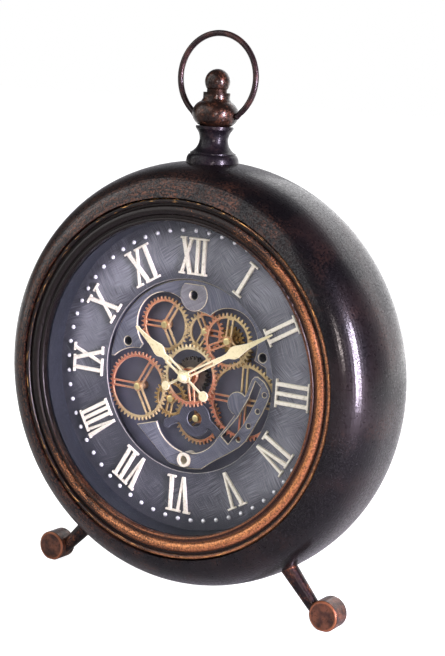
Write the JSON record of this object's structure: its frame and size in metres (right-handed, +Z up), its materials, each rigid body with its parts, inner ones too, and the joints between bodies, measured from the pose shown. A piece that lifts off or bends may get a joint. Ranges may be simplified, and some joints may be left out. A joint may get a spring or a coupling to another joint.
{
  "type": "gear table clock",
  "caption": "Round free-standing table clock with a deep bronze drum case, splayed legs, a ring finial, raised Roman numerals and an open train of turning gears in the dial.",
  "frame": {"origin": "on the floor, under the middle of the whole clock's box", "axes": "+Z up, the dial faces -Y, +X to the right as seen from the front"},
  "size_m": [0.2934, 0.1164, 0.3901],
  "materials": {
    "case_bronze": "oil-rubbed bronze, mottled",
    "bezel_copper": "rubbed copper over dark bronze",
    "clear_glass": "clear",
    "dial_metal": "brushed slate",
    "numeral_ivory": "satin ivory",
    "stud_silver": "polished",
    "plate_slate": "antiqued slate with pale edges",
    "bridge_dark": "satin",
    "wheel_copper": "satin copper",
    "wheel_brass": "satin brass",
    "post_brass": "polished",
    "inner_dark": "satin black",
    "hand_gold": "pale gold",
    "black_plastic": "matt",
    "fastener_steel": "zinc plated",
    "cell_sleeve": "plain sleeve"
  },
  "bodies": {
    "case": {"case_shell": "case_bronze", "bezel": "bezel_copper", "bezel_screws": "fastener_steel", "lens_glass": "clear_glass", "rehaut_ring": "dial_metal", "dial": "dial_metal", "numerals": "numeral_ivory", "minute_studs": "stud_silver", "rear_cover": "case_bronze", "rear_cover_screws": "fastener_steel", "opening_wall": "inner_dark", "base_plate": "inner_dark", "module_spacers": "post_brass", "module_screws": "fastener_steel", "upper_plate": "plate_slate", "top_tab": "plate_slate", "lower_bridge": "plate_slate", "bridge_boss": "numeral_ivory", "centre_bridge": "bridge_dark", "plate_pillars": "bridge_dark", "gear_posts": "post_brass", "gear_motor": "fastener_steel", "gear_battery_box": "black_plastic", "gear_batteries": "cell_sleeve", "switch_body": "black_plastic", "movement_case": "black_plastic", "stem_nut": "wheel_copper", "clock_battery": "cell_sleeve", "finial_base": "case_bronze", "finial_bead": "case_bronze", "finial_ball": "case_bronze", "finial_rod": "fastener_steel", "finial_nut": "fastener_steel", "left_leg": "case_bronze", "right_leg": "case_bronze", "rear_leg": "case_bronze", "left_foot": "case_bronze", "right_foot": "case_bronze", "rear_foot": "case_bronze", "leg_nuts": "fastener_steel"},
    "minute": {"minute_arbor": "post_brass", "minute_hand": "hand_gold", "hand_cap": "hand_gold"},
    "hour": {"hour_pipe": "post_brass", "hour_hand": "hand_gold"},
    "knob": {"setting_knob": "black_plastic"},
    "centre_gear": {"centre_wheel": "wheel_brass", "centre_pinion": "bridge_dark"},
    "upper_right_gear": {"upper_right_wheel": "wheel_brass", "upper_right_pinion": "wheel_brass"},
    "left_gear": {"left_wheel": "wheel_copper"},
    "upper_middle_gear": {"upper_middle_wheel": "wheel_copper"},
    "upper_left_gear": {"upper_left_wheel": "wheel_copper"},
    "right_gear": {"right_wheel": "wheel_copper"},
    "lower_left_gear": {"lower_left_wheel": "wheel_brass"},
    "bottom_gear": {"bottom_wheel": "wheel_copper"},
    "motor_gear": {"motor_pinion": "wheel_brass"},
    "switch": {"switch_slider": "black_plastic"},
    "bail": {"bail_ring": "case_bronze"}
  },
  "joints": [
    {"name": "minute_spin", "type": "hinge", "parent": "case", "child": "minute", "pos_m": [0, -0.03849, 0.1562], "axis": [0, 1, 0], "continuous": true},
    {"name": "hour_spin", "type": "hinge", "parent": "case", "child": "hour", "pos_m": [0, -0.03749, 0.1562], "axis": [0, 1, 0], "continuous": true},
    {"name": "knob_spin", "type": "hinge", "parent": "case", "child": "knob", "pos_m": [0, -0.00249, 0.1442], "axis": [0, 1, 0], "continuous": true},
    {"name": "centre_spin", "type": "hinge", "parent": "case", "child": "centre_gear", "pos_m": [0, -0.02649, 0.1562], "axis": [0, 1, 0], "continuous": true},
    {"name": "upper_right_spin", "type": "hinge", "parent": "case", "child": "upper_right_gear", "pos_m": [0.02808, -0.02649, 0.18398], "axis": [0, 1, 0], "continuous": true},
    {"name": "left_spin", "type": "hinge", "parent": "case", "child": "left_gear", "pos_m": [-0.04229, -0.02649, 0.14234], "axis": [0, 1, 0], "continuous": true},
    {"name": "upper_middle_spin", "type": "hinge", "parent": "case", "child": "upper_middle_gear", "pos_m": [0.00837, -0.02649, 0.18742], "axis": [0, 1, 0], "continuous": true},
    {"name": "upper_left_spin", "type": "hinge", "parent": "case", "child": "upper_left_gear", "pos_m": [-0.02462, -0.02649, 0.188], "axis": [0, 1, 0], "continuous": true},
    {"name": "right_spin", "type": "hinge", "parent": "case", "child": "right_gear", "pos_m": [0.0416, -0.02649, 0.1444], "axis": [0, 1, 0], "continuous": true},
    {"name": "lower_left_spin", "type": "hinge", "parent": "case", "child": "lower_left_gear", "pos_m": [-0.01624, -0.02649, 0.13719], "axis": [0, 1, 0], "continuous": true},
    {"name": "bottom_spin", "type": "hinge", "parent": "case", "child": "bottom_gear", "pos_m": [0.0048, -0.02649, 0.12659], "axis": [0, 1, 0], "continuous": true},
    {"name": "motor_spin", "type": "hinge", "parent": "case", "child": "motor_gear", "pos_m": [0.03945, -0.02649, 0.17583], "axis": [0, 1, 0], "continuous": true},
    {"name": "switch_slide", "type": "slide", "parent": "case", "child": "switch", "axis": [0, 0, 1], "range_m": [0, 0.004]},
    {"name": "bail_tilt", "type": "hinge", "parent": "case", "child": "bail", "pos_m": [0, -0.01949, 0.3336], "axis": [1, 0, 0], "range_deg": [-115, 115]}
  ],
  "couplings": [
    {"joint": "hour_spin", "follows": "minute_spin", "ratio": 0.083333},
    {"joint": "knob_spin", "follows": "minute_spin", "ratio": 1},
    {"joint": "upper_right_spin", "follows": "centre_spin", "ratio": -1.1351},
    {"joint": "left_spin", "follows": "centre_spin", "ratio": -0.89362},
    {"joint": "lower_left_spin", "follows": "centre_spin", "ratio": -0.92308},
    {"joint": "bottom_spin", "follows": "centre_spin", "ratio": -0.66667},
    {"joint": "upper_middle_spin", "follows": "centre_spin", "ratio": 0.48649},
    {"joint": "upper_left_spin", "follows": "centre_spin", "ratio": -0.35846},
    {"joint": "motor_spin", "follows": "centre_spin", "ratio": 2.0432},
    {"joint": "right_spin", "follows": "centre_spin", "ratio": -0.38552}
  ]
}
